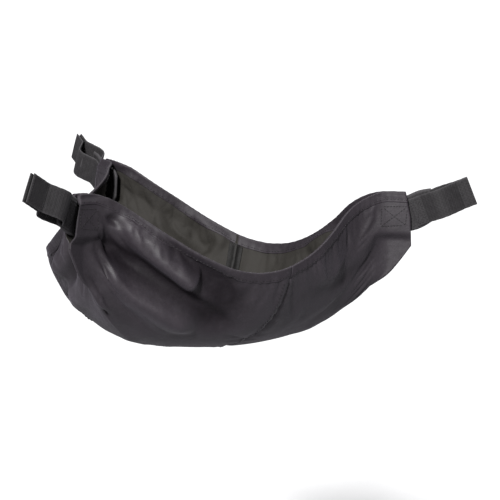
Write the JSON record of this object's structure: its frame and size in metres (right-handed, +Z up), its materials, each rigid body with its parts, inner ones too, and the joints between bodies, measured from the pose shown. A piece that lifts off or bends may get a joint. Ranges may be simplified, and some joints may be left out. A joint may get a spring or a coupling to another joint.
{
  "type": "tripod sling sandbag",
  "caption": "Soft shallow bowl sling with a sand pouch, hung between tripod legs by paired hook and loop webbing straps at its corners.",
  "frame": {"origin": "on the centre line, at the underside of the outer base patch", "axes": "+Z up; +X towards the right corner; the rear corner is at 120 degrees and the left corner at 240 degrees about +Z, so the front side faces -Y"},
  "size_m": [0.3709, 0.4339, 0.1601],
  "materials": {
    "shell_fabric": "satin",
    "binding_tape": "satin",
    "webbing": "matte",
    "hook_tape": "matte",
    "loop_tape": "matte",
    "thread": "satin",
    "pouch_canvas": "matte",
    "sand": "matte"
  },
  "bodies": {
    "sling": {"base_patch_inner": "shell_fabric", "base_patch_outer": "shell_fabric", "corner_tack_left": "thread", "corner_tack_rear": "thread", "corner_tack_right": "thread", "gore_panel_left": "shell_fabric", "gore_panel_rear": "shell_fabric", "gore_panel_right": "shell_fabric", "rim_binding_front": "binding_tape", "rim_binding_rear_left": "binding_tape", "rim_binding_rear_right": "binding_tape", "seam_tape_front": "binding_tape", "seam_tape_rear_left": "binding_tape", "seam_tape_rear_right": "binding_tape"},
    "right_corner": {"corner_tab_right": "webbing", "strap_anchor_right": "webbing", "box_stitch_right": "thread"},
    "right_loop_strap": {"strap_web_right_loop": "webbing", "loop_tape_right": "loop_tape", "loop_stitch_right": "thread"},
    "right_hook_strap": {"strap_web_right_hook": "webbing", "hook_tape_right": "hook_tape", "hook_stitch_right": "thread"},
    "rear_corner": {"corner_tab_rear": "webbing", "strap_anchor_rear": "webbing", "box_stitch_rear": "thread"},
    "rear_loop_strap": {"strap_web_rear_loop": "webbing", "loop_tape_rear": "loop_tape", "loop_stitch_rear": "thread"},
    "rear_hook_strap": {"strap_web_rear_hook": "webbing", "hook_tape_rear": "hook_tape", "hook_stitch_rear": "thread"},
    "left_corner": {"corner_tab_left": "webbing", "strap_anchor_left": "webbing", "box_stitch_left": "thread"},
    "left_loop_strap": {"strap_web_left_loop": "webbing", "loop_tape_left": "loop_tape", "loop_stitch_left": "thread"},
    "left_hook_strap": {"strap_web_left_hook": "webbing", "hook_tape_left": "hook_tape", "hook_stitch_left": "thread"},
    "ballast": {"pouch_grab_strap": "webbing", "sand_fill": "sand", "sand_pouch": "pouch_canvas"}
  },
  "joints": [
    {"name": "right_corner_swivel", "type": "hinge", "parent": "sling", "child": "right_corner", "pos_m": [0.168, 0, 0.118], "axis": [0, 1, 0], "range_deg": [-20, 20]},
    {"name": "right_loop_strap_open", "type": "hinge", "parent": "right_corner", "child": "right_loop_strap", "pos_m": [0.19702, 0.0038, 0.12578], "axis": [-0.4067, 0, 0.9135], "range_deg": [0, 70]},
    {"name": "right_hook_strap_open", "type": "hinge", "parent": "right_corner", "child": "right_hook_strap", "pos_m": [0.19702, -0.0038, 0.12578], "axis": [0.4067, 0, -0.9135], "range_deg": [0, 70]},
    {"name": "rear_corner_swivel", "type": "hinge", "parent": "sling", "child": "rear_corner", "pos_m": [-0.084, 0.14549, 0.118], "axis": [-0.866, -0.5, 0], "range_deg": [-20, 20]},
    {"name": "rear_loop_strap_open", "type": "hinge", "parent": "rear_corner", "child": "rear_loop_strap", "pos_m": [-0.1018, 0.16873, 0.12578], "axis": [0.2034, -0.3522, 0.9135], "range_deg": [0, 70]},
    {"name": "rear_hook_strap_open", "type": "hinge", "parent": "rear_corner", "child": "rear_hook_strap", "pos_m": [-0.09522, 0.17253, 0.12578], "axis": [-0.2034, 0.3522, -0.9135], "range_deg": [0, 70]},
    {"name": "left_corner_swivel", "type": "hinge", "parent": "sling", "child": "left_corner", "pos_m": [-0.084, -0.14549, 0.118], "axis": [0.866, -0.5, 0], "range_deg": [-20, 20]},
    {"name": "left_loop_strap_open", "type": "hinge", "parent": "left_corner", "child": "left_loop_strap", "pos_m": [-0.09522, -0.17253, 0.12578], "axis": [0.2034, 0.3522, 0.9135], "range_deg": [0, 70]},
    {"name": "left_hook_strap_open", "type": "hinge", "parent": "left_corner", "child": "left_hook_strap", "pos_m": [-0.1018, -0.16873, 0.12578], "axis": [-0.2034, -0.3522, -0.9135], "range_deg": [0, 70]},
    {"name": "ballast_lift_out", "type": "slide", "parent": "sling", "child": "ballast", "axis": [0, 0, 1], "range_m": [0, 0.15]}
  ]
}
